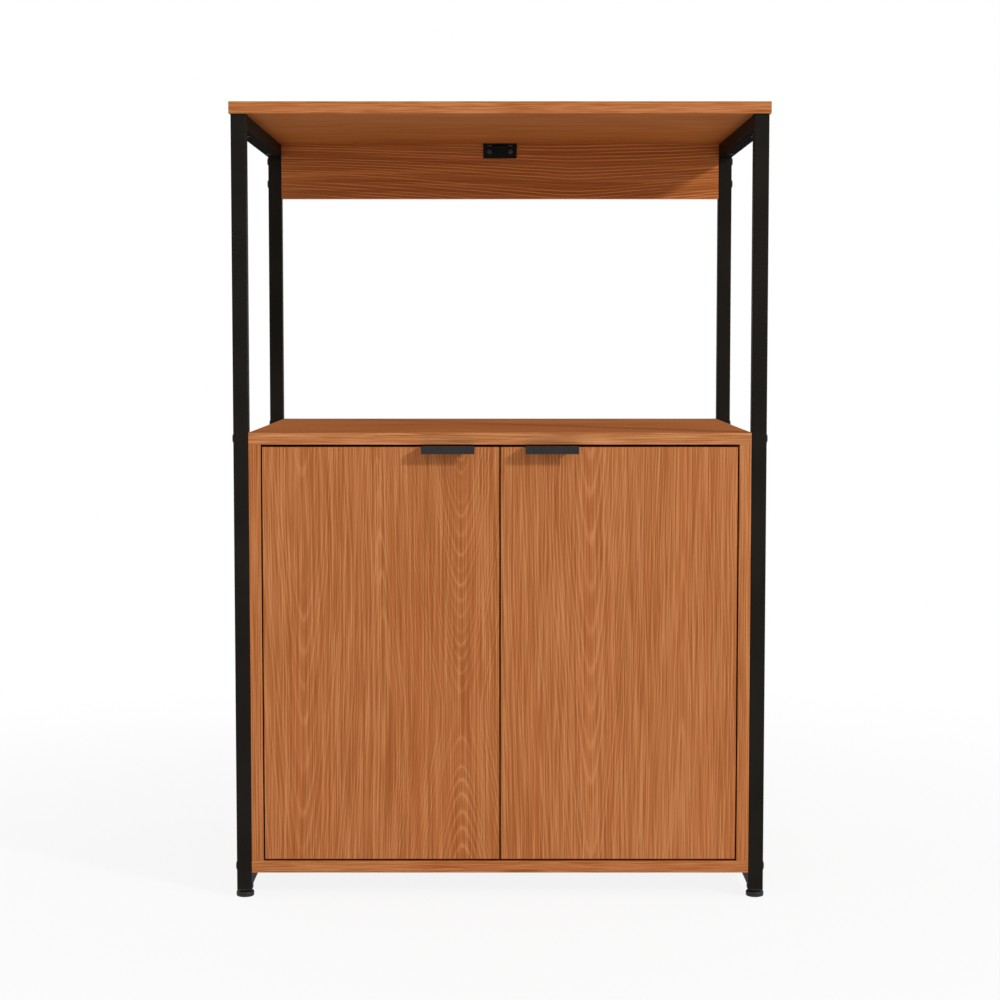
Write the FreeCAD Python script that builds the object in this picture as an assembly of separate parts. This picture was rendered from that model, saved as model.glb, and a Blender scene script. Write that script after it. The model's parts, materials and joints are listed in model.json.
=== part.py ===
import FreeCAD, Part
import math
import os

# Storage cabinet on a square tube frame: an open niche above a cabinet with two inset doors.
# The origin is on the floor under the middle of the whole outline. +X is right, the front looks
# along -Y and +Z is up. All lengths are in millimetres.

vec = FreeCAD.Vector

# Whole cabinet
cabinet_width = 672.0
cabinet_height = 1000.0
cabinet_depth = 470.0
board = 15.0
board_edge_round = 0.6
overrun = 5.0

# Frame of square tube
tube = 19.05
tube_wall = 1.2
tube_corner = 1.8
top_side_overhang = 2.2
top_front_overhang = 2.0
leg_clearance = 10.2
bottom_rail_lift = 2.8

# Leg plugs and levelling feet
plug_flange = 1.0
plug_height = 16.0
plug_fit = 0.05
foot_pad_radius = 11.25
foot_pad_height = 6.8
foot_bevel = 1.6
foot_neck_radius = 6.0
foot_stem_radius = 3.0
foot_stem_length = 24.0
foot_stem_fit = 0.05

# Boards between the legs
mid_board_top = 590.0
bottom_board_under = 31.5
apron_height = 77.5
shelf_height = 318.0
shelf_setback = 45.0
shelf_side_gap = 0.8

# Back panel in its groove
back_thickness = 3.0
groove_fit = 0.1
groove_depth = 6.0
groove_inset = 16.0

# Shelf pins
pin_radius = 2.5
pin_hole_depth = 9.0
pin_reach = 9.0
pin_collar_radius = 3.8
pin_collar = 1.2
pin_end_inset = 37.0
pin_pitch = 32.0
pin_rows_up_and_down = 1

# Doors
door_side_gap = 2.0
door_centre_gap = 2.0
door_top_gap = 3.0
door_bottom_gap = 2.7
door_edge_round = 0.6

# Pulls folded over the doors' top edges
pull_length = 66.5
pull_sheet = 1.5
pull_reach = 20.0
pull_lip = 9.3
pull_tail = 18.0
pull_bend = 1.6
pull_from_centre = 31.8
pull_screw_spacing = 44.0
pull_screw_drop = 11.0

# Screws with pan heads, used at the pulls, the bracket and the hinges
small_screw_radius = 1.75
small_head_radius = 3.4
small_head_height = 1.5
small_screw_length = 11.0

# Domed screws through the legs
frame_screw_radius = 3.0
frame_head_radius = 6.0
frame_head_height = 1.7
frame_screw_bite = 32.0
frame_hex_across = 3.9
frame_hex_depth = 1.1
apron_screw_drop_first = 24.0
apron_screw_drop_second = 56.0

# Screws up through the top rails
top_screw_bite = 11.0
top_screw_end_inset = 95.0

# Angle bracket under the top
bracket_length = 48.0
bracket_leg = 20.0
bracket_sheet = 2.0
bracket_screw_spacing = 30.4
bracket_screw_offset = 10.4

# Cam fittings and dowels
cam_radius = 7.5
cam_height = 12.0
cam_from_end = 24.0
cam_slot = 3.0
cam_slot_depth = 3.5
bolt_shank_radius = 3.0
bolt_thread_radius = 2.5
bolt_thread_length = 10.0
bolt_neck_radius = 1.8
bolt_neck_length = 5.0
bolt_head_radius = 3.0
bolt_head_length = 2.0
bolt_fit = 0.5
cam_end_inset = 70.0
dowel_radius = 4.0
dowel_length = 28.0
dowel_bite = 10.0
dowel_from_cam = 32.0
dowel_chamfer = 0.8

# Concealed hinges, each with a cup in the door and a swan-neck arm on the side panel
hinge_inset = 88.0
cup_radius = 17.5
cup_depth = 12.5
cup_wall = 1.0
cup_floor = 0.8
cup_edge_distance = 4.0
cup_flange = 1.2
cup_rim = 1.2
cup_wing_radius = 5.5
cup_screw_offset = 9.5
cup_screw_spacing = 48.0
cup_screw_length = 10.0
cup_ear_across = 9.0
cup_ear_above = 3.4
pivot_from_edge = 10.5
pivot_from_face = 6.0
pivot_pin_radius = 1.5
pivot_fit = 0.05
pin_hold = 2.5
eye_radius = 2.4
arm_half_width = 8.0
arm_side_gap = 0.4
arm_thickness = 3.8
arm_under = 2.4
arm_top = 9.4
neck_from_pivot = 11.7
neck_rise = 14.6
neck_round_share = 0.9
plate_setback = 37.0
plate_base = 2.0
plate_foot = 2.5
plate_rail_length = 46.0
plate_wing_radius = 6.0
plate_screw_spacing = 32.0
rail_top = 6.4
rail_half_width = 5.0
rail_fit = 0.05
arm_screw_spacing = 24.0
arm_screw_length = 9.0

# Places worked out from the sizes above
foot_overhang = foot_pad_radius - tube / 2
front = (pull_reach - cabinet_depth - foot_overhang) / 2
rear = front + cabinet_depth
half_frame = cabinet_width / 2 - top_side_overhang
half_inside = half_frame - tube
half_cabinet = half_inside - board
top_under = cabinet_height - board
leg_bottom = leg_clearance
leg_centre_x = half_frame - tube / 2
leg_centre_front = front + tube / 2
leg_centre_rear = rear - tube / 2
mid_board_under = mid_board_top - board
bottom_board_top = bottom_board_under + board
door_bottom = bottom_board_top + door_bottom_gap
door_top = mid_board_under - door_top_gap
door_width = half_cabinet - door_side_gap - door_centre_gap / 2
door_back = front + board
apron_front = rear - tube
apron_bottom = top_under - apron_height
groove_rear = rear - groove_inset
groove_front = groove_rear - back_thickness - 2 * groove_fit
panel_middle_x = half_inside - board / 2


# General shapes

def block(x_low, x_high, y_low, y_high, z_low, z_high):
    return Part.makeBox(x_high - x_low, y_high - y_low, z_high - z_low, vec(x_low, y_low, z_low))


def rod(radius, start, direction, length):
    return Part.makeCylinder(radius, length, start, direction)


def rounded_square(side, radius):
    # The outline of a square tube about the origin in the XY plane.
    half = side / 2
    flat = half - radius
    slant = radius * math.sqrt(0.5)
    edges = []
    for turn in range(4):
        cos_turn = (1, 0, -1, 0)[turn]
        sin_turn = (0, 1, 0, -1)[turn]

        def place(x, y):
            return vec(x * cos_turn - y * sin_turn, x * sin_turn + y * cos_turn, 0)

        edges.append(Part.LineSegment(place(half, -flat), place(half, flat)).toShape())
        corner = (place(half, flat), place(flat + slant, flat + slant), place(flat, half))
        edges.append(Part.Arc(*corner).toShape())
    return Part.Wire(edges)


def tube_length(length):
    outer = Part.Face(rounded_square(tube, tube_corner))
    inner = Part.Face(rounded_square(tube - 2 * tube_wall, tube_corner - tube_wall))
    return outer.cut(inner).extrude(vec(0, 0, length))


def revolved(profile, place, direction):
    # profile is a list of (radius, height) points. It is turned about the Z axis, then stood along direction.
    points = [vec(radius, 0, height) for radius, height in profile]
    face = Part.Face(Part.makePolygon(points + points[:1]))
    solid = face.revolve(vec(0, 0, 0), vec(0, 0, 1), 360)
    solid.Placement = FreeCAD.Placement(place, FreeCAD.Rotation(vec(0, 0, 1), direction))
    return solid


def prism(outline, start, length):
    # outline is a list of vectors in one plane. It is extruded along the vector of that length.
    return Part.Face(Part.makePolygon(outline + outline[:1])).extrude(length).translated(start)


def mirrored(shape):
    return shape.mirror(vec(0, 0, 0), vec(1, 0, 0))


def hex_socket(across, depth, place, direction):
    corner = across / 2 / math.cos(math.radians(30))
    points = [vec(corner * math.cos(math.radians(60 * side)), corner * math.sin(math.radians(60 * side)), 0)
              for side in range(6)]
    socket = Part.Face(Part.makePolygon(points + points[:1])).extrude(vec(0, 0, depth))
    socket.Placement = FreeCAD.Placement(place, FreeCAD.Rotation(vec(0, 0, 1), direction))
    return socket


def round_edges(solid, radius, wanted):
    edges = [edge for edge in solid.Edges if wanted(edge)]
    return solid.makeFillet(radius, edges)


def on_plane(edge, axis, value):
    slack = board_edge_round / 10
    places = [getattr(vertex.Point, axis) for vertex in edge.Vertexes]
    return all(abs(place - value) < slack for place in places)


def save(node, solids):
    shape = solids[0] if len(solids) == 1 else Part.makeCompound(solids)
    assert shape.isValid(), node
    shape.exportStep("parts/" + node + ".step")


# Screws

def pan_screw(seat, direction, length):
    # A small screw whose pan head lies on seat and whose pointed shank runs along direction.
    radius = small_head_radius
    crown = small_head_height
    profile = [(0, -crown), (radius - crown / 2, -crown), (radius, -crown / 3), (radius, 0),
               (small_screw_radius, 0), (small_screw_radius, length - small_screw_radius), (0, length)]
    return revolved(profile, seat, direction)


def pan_screw_hole(seat, direction, length):
    start = seat - direction * overrun
    return rod(small_screw_radius, start, direction, length + overrun)


def dome_points():
    # The head's outline from its rim to the flat round the socket, on one arc.
    flat_radius = frame_head_radius / 2
    rise = frame_head_height
    span = frame_head_radius - flat_radius
    return [(flat_radius + span * math.cos(math.radians(angle)), -rise * math.sin(math.radians(angle)))
            for angle in (90, 60, 30, 0)]


def frame_screw(seat, direction):
    length = tube + frame_screw_bite
    profile = [(0, -frame_head_height)] + dome_points()
    profile += [(frame_screw_radius, 0), (frame_screw_radius, length - frame_screw_radius / 2),
                (frame_screw_radius / 2, length), (0, length)]
    screw = revolved(profile, seat, direction)
    top = seat - direction * (frame_head_height + overrun)
    return screw.cut(hex_socket(frame_hex_across, frame_hex_depth + overrun, top, direction))


def frame_screw_hole(seat, direction):
    start = seat - direction * overrun
    return rod(frame_screw_radius, start, direction, tube + frame_screw_bite + overrun)


def frame_screw_seats(side):
    # Places of the screw heads on one side of the frame.
    x = side * half_frame
    seats = []
    for height in (mid_board_under + board / 2, bottom_board_under + board / 2):
        seats.append(vec(x, leg_centre_front, height))
        seats.append(vec(x, leg_centre_rear, height))
    for drop in (apron_screw_drop_first, apron_screw_drop_second):
        seats.append(vec(x, apron_front + board / 2, top_under - drop))
    return seats


def inward(side):
    return vec(-side, 0, 0)


def cut_frame_screws(solid):
    for side in (-1, 1):
        for seat in frame_screw_seats(side):
            solid = solid.cut(frame_screw_hole(seat, inward(side)))
    return solid


def top_screw_seats():
    seats = []
    for side in (-1, 1):
        for y in (front + top_screw_end_inset, rear - top_screw_end_inset):
            seats.append(vec(side * leg_centre_x, y, top_under - tube))
    return seats


def cut_top_screws(solid):
    for seat in top_screw_seats():
        solid = solid.cut(pan_screw_hole(seat, vec(0, 0, 1), tube + top_screw_bite))
    return solid


# Frame

def leg(side, centre_y):
    solid = tube_length(top_under - leg_bottom)
    solid.translate(vec(side * leg_centre_x, centre_y, leg_bottom))
    return cut_frame_screws(solid)


def side_rail(side, centre_z):
    solid = tube_length(cabinet_depth - 2 * tube)
    solid.rotate(vec(0, 0, 0), vec(1, 0, 0), -90)
    solid.translate(vec(side * leg_centre_x, front + tube, centre_z))
    return solid


def leg_plug(side, centre_y):
    inner = tube - 2 * tube_wall - 2 * plug_fit
    flange = Part.Face(rounded_square(tube, tube_corner)).extrude(vec(0, 0, plug_flange))
    stem_outline = rounded_square(inner, tube_corner - tube_wall)
    stem = Part.Face(stem_outline).extrude(vec(0, 0, plug_height)).translated(vec(0, 0, plug_flange))
    solid = flange.fuse(stem).removeSplitter()
    bore = rod(foot_stem_radius + foot_stem_fit, vec(0, 0, -overrun), vec(0, 0, 1),
               plug_height + plug_flange + 2 * overrun)
    solid = solid.cut(bore)
    solid.translate(vec(side * leg_centre_x, centre_y, leg_bottom - plug_flange))
    return solid


def foot(side, centre_y):
    neck_top = leg_bottom - plug_flange
    stem_top = neck_top + foot_stem_length
    pad = foot_pad_radius
    bevel = foot_bevel
    profile = [(0, 0), (pad - bevel, 0), (pad, bevel), (pad, foot_pad_height - bevel),
               (pad - bevel, foot_pad_height), (foot_neck_radius, foot_pad_height),
               (foot_neck_radius, neck_top), (foot_stem_radius, neck_top),
               (foot_stem_radius, stem_top - foot_stem_radius / 2), (foot_stem_radius / 2, stem_top),
               (0, stem_top)]
    return revolved(profile, vec(side * leg_centre_x, centre_y, 0), vec(0, 0, 1))


# Cam fittings and dowels. Each joint lies between a side panel and a level board above or below it.

def cam_joints():
    joints = []
    for side in (-1, 1):
        for face_z, up in ((mid_board_under, 1), (bottom_board_top, -1)):
            for y in (front + cam_end_inset, rear - cam_end_inset):
                joints.append((side, y, face_z, up))
    return joints


def cam_place(side, y, face_z, up):
    return vec(side * half_cabinet, y, face_z - up * cam_from_end)


def cam_housing(side, y, face_z, up):
    # A drum let into the panel's inner face, with a slot across its face and a way in for the bolt.
    out = vec(side, 0, 0)
    place = cam_place(side, y, face_z, up)
    drum = rod(cam_radius, place, out, cam_height)
    way_in = rod(bolt_head_radius + bolt_fit, vec(side * panel_middle_x, y, place.z), vec(0, 0, up),
                 cam_radius + overrun)
    slot_half = cam_slot / 2
    slot_outer = cam_radius * math.sqrt(0.5)
    slot_inner_x = side * half_cabinet
    slot_x = sorted((slot_inner_x - side * overrun, slot_inner_x + side * cam_slot_depth))
    slot = block(slot_x[0], slot_x[1], y - slot_half, y + slot_half, place.z - slot_outer, place.z + slot_outer)
    return drum.cut(way_in).cut(slot)


def cam_bolt(side, y, face_z, up):
    reach = cam_from_end
    shank_end = reach - bolt_head_length - bolt_neck_length
    profile = [(0, -bolt_thread_length), (bolt_thread_radius, -bolt_thread_length), (bolt_thread_radius, 0),
               (bolt_shank_radius, 0), (bolt_shank_radius, shank_end), (bolt_neck_radius, shank_end),
               (bolt_neck_radius, shank_end + bolt_neck_length), (bolt_head_radius, shank_end + bolt_neck_length),
               (bolt_head_radius, reach), (0, reach)]
    return revolved(profile, vec(side * panel_middle_x, y, face_z), vec(0, 0, -up))


def dowel_start(side, y, face_z, up):
    middle = front + cabinet_depth / 2
    toward_middle = math.copysign(dowel_from_cam, middle - y)
    return vec(side * panel_middle_x, y + toward_middle, face_z + up * dowel_bite)


def dowel(side, y, face_z, up):
    chamfer = dowel_chamfer
    profile = [(0, 0), (dowel_radius - chamfer, 0), (dowel_radius, chamfer),
               (dowel_radius, dowel_length - chamfer), (dowel_radius - chamfer, dowel_length), (0, dowel_length)]
    return revolved(profile, dowel_start(side, y, face_z, up), vec(0, 0, -up))


def cut_cam_joints(solid):
    for side, y, face_z, up in cam_joints():
        down = vec(0, 0, -up)
        bolt_foot = vec(side * panel_middle_x, y, face_z)
        solid = solid.cut(rod(cam_radius, cam_place(side, y, face_z, up), vec(side, 0, 0), cam_height))
        solid = solid.cut(rod(bolt_thread_radius, bolt_foot - down * bolt_thread_length, down, bolt_thread_length))
        solid = solid.cut(rod(bolt_head_radius + bolt_fit, bolt_foot, down, cam_from_end))
        solid = solid.cut(rod(dowel_radius, dowel_start(side, y, face_z, up), down, dowel_length))
    return solid


# Boards

def rounded_board(x_low, x_high, y_low, y_high, z_low, z_high, wanted):
    solid = block(x_low, x_high, y_low, y_high, z_low, z_high)
    return round_edges(solid, board_edge_round, wanted)


def back_groove():
    # The room that the back panel's grooves take out of the boards round it.
    half = half_cabinet + groove_depth
    return block(-half, half, groove_front, groove_rear, bottom_board_top - groove_depth,
                 mid_board_under + groove_depth)


def level_board(z_low):
    # A board between the legs. Its front edge is rounded at both faces.
    solid = rounded_board(-half_inside, half_inside, front, rear, z_low, z_low + board,
                          lambda edge: on_plane(edge, "y", front) and edge.Length > cabinet_width / 2)
    solid = solid.cut(back_groove())
    return cut_cam_joints(cut_frame_screws(solid))


def top_board():
    y_low = front - top_front_overhang
    half = cabinet_width / 2
    solid = rounded_board(-half, half, y_low, rear, top_under, cabinet_height,
                          lambda edge: not on_plane(edge, "y", rear))
    return cut_bracket_screws(cut_top_screws(solid))


def apron():
    solid = rounded_board(-half_inside, half_inside, apron_front, apron_front + board, apron_bottom, top_under,
                          lambda edge: on_plane(edge, "z", apron_bottom) and edge.Length > board)
    return cut_bracket_screws(cut_frame_screws(solid))


def side_panel(side):
    x_low, x_high = sorted((side * half_cabinet, side * half_inside))
    solid = rounded_board(x_low, x_high, front, rear, bottom_board_top, mid_board_under,
                          lambda edge: on_plane(edge, "y", front) and edge.Length > board)
    solid = solid.cut(back_groove())
    for hole in shelf_pin_holes(side):
        solid = solid.cut(hole)
    for height in hinge_heights():
        for seat, direction, length in plate_screw_places(height):
            hole = pan_screw_hole(seat, direction, length)
            solid = solid.cut(hole if side < 0 else mirrored(hole))
    return cut_cam_joints(solid)


def back_panel():
    half = half_cabinet + groove_depth
    return block(-half, half, groove_front + groove_fit, groove_rear - groove_fit,
                 bottom_board_top - groove_depth, mid_board_under + groove_depth - groove_fit)


# Shelf and its pins

def shelf_pin_rows():
    return (front + board + shelf_setback + pin_end_inset, groove_front - pin_end_inset)


def shelf_pin_holes(side):
    holes = []
    for y in shelf_pin_rows():
        for step in range(-pin_rows_up_and_down, pin_rows_up_and_down + 1):
            place = vec(side * half_cabinet, y, shelf_height - pin_radius + step * pin_pitch)
            start = place - vec(side * overrun, 0, 0)
            holes.append(rod(pin_radius, start, vec(side, 0, 0), pin_hole_depth + overrun))
    return holes


def shelf_pin(side, y):
    # A stepped pin: its round part fills the hole and its flat top carries the shelf.
    place = vec(side * half_cabinet, y, shelf_height - pin_radius)
    out = vec(side, 0, 0)
    shank = rod(pin_radius, place - out * pin_reach, out, pin_reach + pin_hole_depth)
    collar = rod(pin_collar_radius, place - out * pin_collar, out, pin_collar)
    x_low, x_high = sorted((side * half_cabinet, side * (half_cabinet - pin_reach)))
    above = block(x_low, x_high, y - pin_collar_radius, y + pin_collar_radius, shelf_height,
                  shelf_height + pin_collar_radius)
    return shank.fuse(collar).cut(above).removeSplitter()


def inner_shelf():
    half = half_cabinet - shelf_side_gap
    y_low = front + board + shelf_setback
    return rounded_board(-half, half, y_low, groove_front - groove_fit, shelf_height, shelf_height + board,
                         lambda edge: on_plane(edge, "y", y_low) and edge.Length > board)


# Angle bracket

def bracket():
    # One bent strip: a leg on the apron's face and a leg under the top board.
    y_face = apron_front
    x_low = -bracket_length / 2
    outline = [vec(x_low, y_face, top_under), vec(x_low, y_face - bracket_leg, top_under),
               vec(x_low, y_face - bracket_leg, top_under - bracket_sheet),
               vec(x_low, y_face - bracket_sheet, top_under - bracket_sheet),
               vec(x_low, y_face - bracket_sheet, top_under - bracket_leg),
               vec(x_low, y_face, top_under - bracket_leg)]
    solid = prism(outline, vec(0, 0, 0), vec(bracket_length, 0, 0))
    inner = [edge for edge in solid.Edges if on_plane(edge, "y", y_face - bracket_sheet)
             and on_plane(edge, "z", top_under - bracket_sheet)]
    solid = solid.makeFillet(bracket_sheet / 2, inner)
    corners = [edge for edge in solid.Edges if abs(edge.Length - bracket_sheet) < bracket_sheet / 10
               and (on_plane(edge, "z", top_under - bracket_leg) or on_plane(edge, "y", y_face - bracket_leg))]
    solid = solid.makeFillet(bracket_sheet, corners)
    for seat, direction, length in bracket_screw_places():
        solid = solid.cut(pan_screw_hole(seat, direction, length))
    return solid


def bracket_screw_places():
    places = []
    for side in (-1, 1):
        x = side * bracket_screw_spacing / 2
        on_apron = vec(x, apron_front - bracket_sheet, top_under - bracket_screw_offset)
        under_top = vec(x, apron_front - bracket_screw_offset, top_under - bracket_sheet)
        places.append((on_apron, vec(0, 1, 0), small_screw_length))
        places.append((under_top, vec(0, 0, 1), small_screw_length))
    return places


def cut_bracket_screws(solid):
    for seat, direction, length in bracket_screw_places():
        solid = solid.cut(pan_screw_hole(seat, direction, length))
    return solid


# Doors

def door():
    x_low = -half_cabinet + door_side_gap
    solid = block(x_low, x_low + door_width, front, door_back, door_bottom, door_top)
    solid = round_edges(solid, door_edge_round, lambda edge: on_plane(edge, "y", front))
    for height in hinge_heights():
        centre = cup_centre() + vec(0, 0, height)
        solid = solid.cut(rod(cup_radius, centre - vec(0, cup_depth, 0), vec(0, 1, 0), cup_depth + overrun))
        for seat, direction, length in cup_screws(height):
            solid = solid.cut(pan_screw_hole(seat, direction, length))
    for seat, direction, length in pull_screws():
        solid = solid.cut(pan_screw_hole(seat, direction, length))
    return solid


# Pulls. The left one is made, and the right one is its mirror image.

def pull():
    # One strip: a tail on the door's back, a flat over the top edge and a lip turned down in front.
    x_low = -pull_from_centre - pull_length
    sheet = pull_sheet
    y_front = front - pull_reach
    outline = [vec(x_low, door_back, door_top), vec(x_low, door_back, door_top - pull_tail),
               vec(x_low, door_back + sheet, door_top - pull_tail), vec(x_low, door_back + sheet, door_top + sheet),
               vec(x_low, y_front, door_top + sheet), vec(x_low, y_front, door_top + sheet - pull_lip),
               vec(x_low, y_front + sheet, door_top + sheet - pull_lip), vec(x_low, y_front + sheet, door_top)]
    solid = prism(outline, vec(0, 0, 0), vec(pull_length, 0, 0))
    bends = [edge for edge in solid.Edges if on_plane(edge, "z", door_top + sheet)
             and (on_plane(edge, "y", y_front) or on_plane(edge, "y", door_back + sheet))]
    solid = solid.makeFillet(pull_bend, bends)
    for seat, direction, length in pull_screws():
        solid = solid.cut(pan_screw_hole(seat, direction, length))
    return solid


def pull_screws():
    middle = -pull_from_centre - pull_length / 2
    places = []
    for side in (-1, 1):
        seat = vec(middle + side * pull_screw_spacing / 2, door_back + pull_sheet, door_top - pull_screw_drop)
        places.append((seat, vec(0, -1, 0), small_screw_length))
    return places


# Hinges. Every piece is made for the left door and mirrored for the right one. Across is the distance
# from the side panel's inner face, and back is the distance behind the door's front face.

def hinge_heights():
    return (door_bottom + hinge_inset, door_top - hinge_inset)


def spot(across, back, height=0):
    return vec(-half_cabinet + across, front + back, height)


def cup_centre():
    return spot(door_side_gap + cup_edge_distance + cup_radius, board)


def pivot_across():
    return door_side_gap + pivot_from_edge


def cup_screws(height):
    places = []
    for side in (-1, 1):
        seat = cup_centre() + vec(cup_screw_offset, cup_flange, height + side * cup_screw_spacing / 2)
        places.append((seat, vec(0, -1, 0), cup_screw_length))
    return places


def hinge_cup():
    # A drum sunk in the door, with a flange on the door's back and two ears inside that hold the pin.
    centre = cup_centre()
    back = vec(0, 1, 0)
    floor = centre - back * cup_depth
    inner_radius = cup_radius - cup_wall
    wing_half = cup_screw_spacing / 2
    wing_x = centre.x + cup_screw_offset
    rim = rod(cup_radius + cup_rim, centre, back, cup_flange)
    wings = block(wing_x - cup_wing_radius, wing_x + cup_wing_radius, centre.y, centre.y + cup_flange,
                  -wing_half, wing_half)
    solid = rod(cup_radius, floor, back, cup_depth).fuse([rim, wings])
    for side in (-1, 1):
        end = vec(wing_x, centre.y, side * wing_half)
        solid = solid.fuse(rod(cup_wing_radius, end, back, cup_flange))
    hollow = rod(inner_radius, floor + back * cup_floor, back, cup_depth + cup_flange)
    ears = block(centre.x - inner_radius, centre.x - inner_radius + cup_ear_across, floor.y,
                 spot(0, pivot_from_face + cup_ear_above).y, -cup_radius, cup_radius)
    ear_gap = arm_half_width + arm_side_gap
    middle = block(centre.x - cup_radius - overrun, centre.x + cup_radius, floor.y - overrun, centre.y + overrun,
                   -ear_gap, ear_gap)
    solid = solid.cut(hollow.cut(ears.cut(middle))).removeSplitter()
    for seat, direction, length in cup_screws(0):
        solid = solid.cut(pan_screw_hole(seat, direction, length))
    return solid.cut(hinge_pin())


def hinge_pin():
    half = arm_half_width + arm_side_gap + pin_hold
    return rod(pivot_pin_radius, spot(pivot_across(), pivot_from_face, -half), vec(0, 0, 1), 2 * half)


def hinge_arm():
    # The neck leaves its eye on the pin, comes out of the cup's mouth and turns back to the side panel.
    eye_across = pivot_across()
    eye_back = pivot_from_face
    run_half = arm_thickness / 2
    neck_near = eye_across + neck_from_pivot
    neck_far = neck_near + arm_thickness
    turn_low = eye_back + neck_rise
    turn_high = turn_low + arm_thickness
    tail_start = board + plate_setback - plate_rail_length / 2
    tail_end = tail_start + plate_rail_length
    half = arm_half_width
    outline = [spot(eye_across, eye_back - run_half, -half), spot(neck_far, eye_back - run_half, -half),
               spot(neck_far, turn_high, -half), spot(arm_top, turn_high, -half), spot(arm_top, tail_end, -half),
               spot(arm_under, tail_end, -half), spot(arm_under, turn_low, -half), spot(neck_near, turn_low, -half),
               spot(neck_near, eye_back + run_half, -half), spot(eye_across, eye_back + run_half, -half)]
    solid = prism(outline, vec(0, 0, 0), vec(0, 0, 2 * half))
    bend = arm_thickness * neck_round_share
    solid = round_corner(solid, spot(neck_far, eye_back - run_half), bend)
    solid = round_corner(solid, spot(neck_far, turn_high), bend)
    solid = round_corner(solid, spot(neck_near, eye_back + run_half), run_half)
    solid = round_corner(solid, spot(arm_top, turn_high), bend)
    solid = solid.fuse(rod(eye_radius, spot(eye_across, eye_back, -half), vec(0, 0, 1), 2 * half)).removeSplitter()
    bore = rod(pivot_pin_radius + pivot_fit, spot(eye_across, eye_back, -half - overrun), vec(0, 0, 1),
               2 * half + 2 * overrun)
    low = spot(-overrun, tail_start, -rail_half_width - rail_fit)
    high = spot(rail_top, tail_end + overrun, rail_half_width + rail_fit)
    channel = block(low.x, high.x, low.y, high.y, low.z, high.z)
    solid = solid.cut(bore).cut(channel)
    for seat, direction, length in arm_screws(0):
        solid = solid.cut(pan_screw_hole(seat, direction, length))
    return solid


def round_corner(solid, place, radius):
    # Rounds the one upright edge that passes through place.
    slack = arm_thickness / 100
    edges = []
    for edge in solid.Edges:
        points = [vertex.Point for vertex in edge.Vertexes]
        if all(math.hypot(point.x - place.x, point.y - place.y) < slack for point in points):
            edges.append(edge)
    return solid.makeFillet(radius, edges)


def arm_screws(height):
    places = []
    middle = board + plate_setback
    for shift in (-arm_screw_spacing / 2, arm_screw_spacing / 2):
        places.append((spot(arm_top, middle + shift, height), vec(-1, 0, 0), arm_screw_length))
    return places


def between(low, high):
    # The block whose opposite corners are low and high.
    return block(low.x, high.x, low.y, high.y, low.z, high.z)


def hinge_plate():
    # A cross-shaped base on the side panel, with a raised rail that the arm slides over.
    middle = board + plate_setback
    rail_half = plate_rail_length / 2
    foot_half = rail_half_width + plate_foot
    wing_half = plate_screw_spacing / 2
    foot_strip = between(spot(0, middle - rail_half, -foot_half), spot(plate_base, middle + rail_half, foot_half))
    wings = between(spot(0, middle - plate_wing_radius, -wing_half),
                    spot(plate_base, middle + plate_wing_radius, wing_half))
    rail = between(spot(0, middle - rail_half, -rail_half_width), spot(rail_top, middle + rail_half, rail_half_width))
    ends = [rod(plate_wing_radius, spot(0, middle, side * wing_half), vec(1, 0, 0), plate_base) for side in (-1, 1)]
    solid = foot_strip.fuse([wings, rail] + ends).removeSplitter()
    for seat, direction, length in plate_screw_places(0) + arm_screws(0):
        solid = solid.cut(pan_screw_hole(seat, direction, length))
    return solid


def plate_screw_places(height):
    places = []
    for side in (-1, 1):
        seat = spot(plate_base, board + plate_setback, height + side * plate_screw_spacing / 2)
        places.append((seat, vec(-1, 0, 0), small_screw_length))
    return places


def both_hinges(make):
    # One copy of a hinge piece at each hinge of the left door.
    return [make().translated(vec(0, 0, height)) for height in hinge_heights()]


def screws_at(places):
    return [pan_screw(seat, direction, length) for seat, direction, length in places]


def hinge_screws(places_at):
    screws = []
    for height in hinge_heights():
        screws += screws_at(places_at(height))
    return screws


# Every node and its file

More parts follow.
